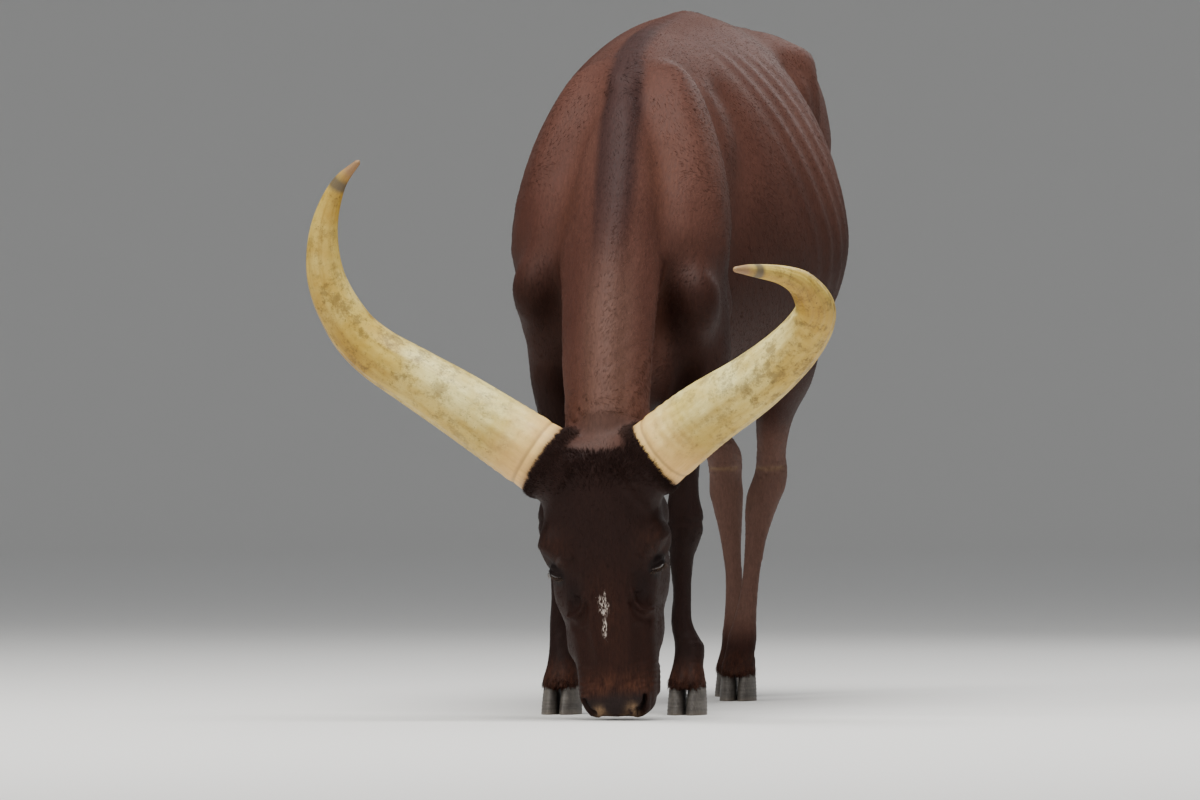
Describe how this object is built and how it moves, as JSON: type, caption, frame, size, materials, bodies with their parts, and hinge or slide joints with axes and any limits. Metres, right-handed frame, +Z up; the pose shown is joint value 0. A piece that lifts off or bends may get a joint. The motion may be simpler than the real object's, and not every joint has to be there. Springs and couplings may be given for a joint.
{
  "type": "ankole watusi cow",
  "caption": "Lean brown cow standing and grazing, with very long thick horns, the muzzle at the floor and one hind foot trailing.",
  "frame": {"origin": "middle of the whole animal's box at floor level, under the front of the barrel", "axes": "the animal faces -Y, its left side is +X, +Z is up; the hooves stand on z = 0"},
  "size_m": [0.9576, 2.3196, 1.3174],
  "materials": {
    "brown_coat": "short glossy reddish-brown hair",
    "dark_coat": "short glossy brown-black hair",
    "horn": "smooth cream horn with a soft sheen, stained and mottled",
    "hoof": "dull grey horn",
    "eye": "wet gloss"
  },
  "bodies": {
    "root": {"trunk": "brown_coat", "neck": "brown_coat", "head": "dark_coat", "ear_left": "dark_coat", "ear_right": "dark_coat", "foreleg_left": "dark_coat", "foreleg_right": "dark_coat", "hindleg_left": "dark_coat", "hindleg_right": "dark_coat", "tail": "dark_coat", "tail_switch": "dark_coat", "horn_left": "horn", "horn_right": "horn", "eye_left": "eye", "eye_right": "eye", "hoof_fore_left_outer": "hoof", "hoof_fore_left_inner": "hoof", "hoof_fore_right_outer": "hoof", "hoof_fore_right_inner": "hoof", "hoof_hind_left_outer": "hoof", "hoof_hind_left_inner": "hoof", "hoof_hind_right_outer": "hoof", "hoof_hind_right_inner": "hoof"}
  },
  "joints": []
}
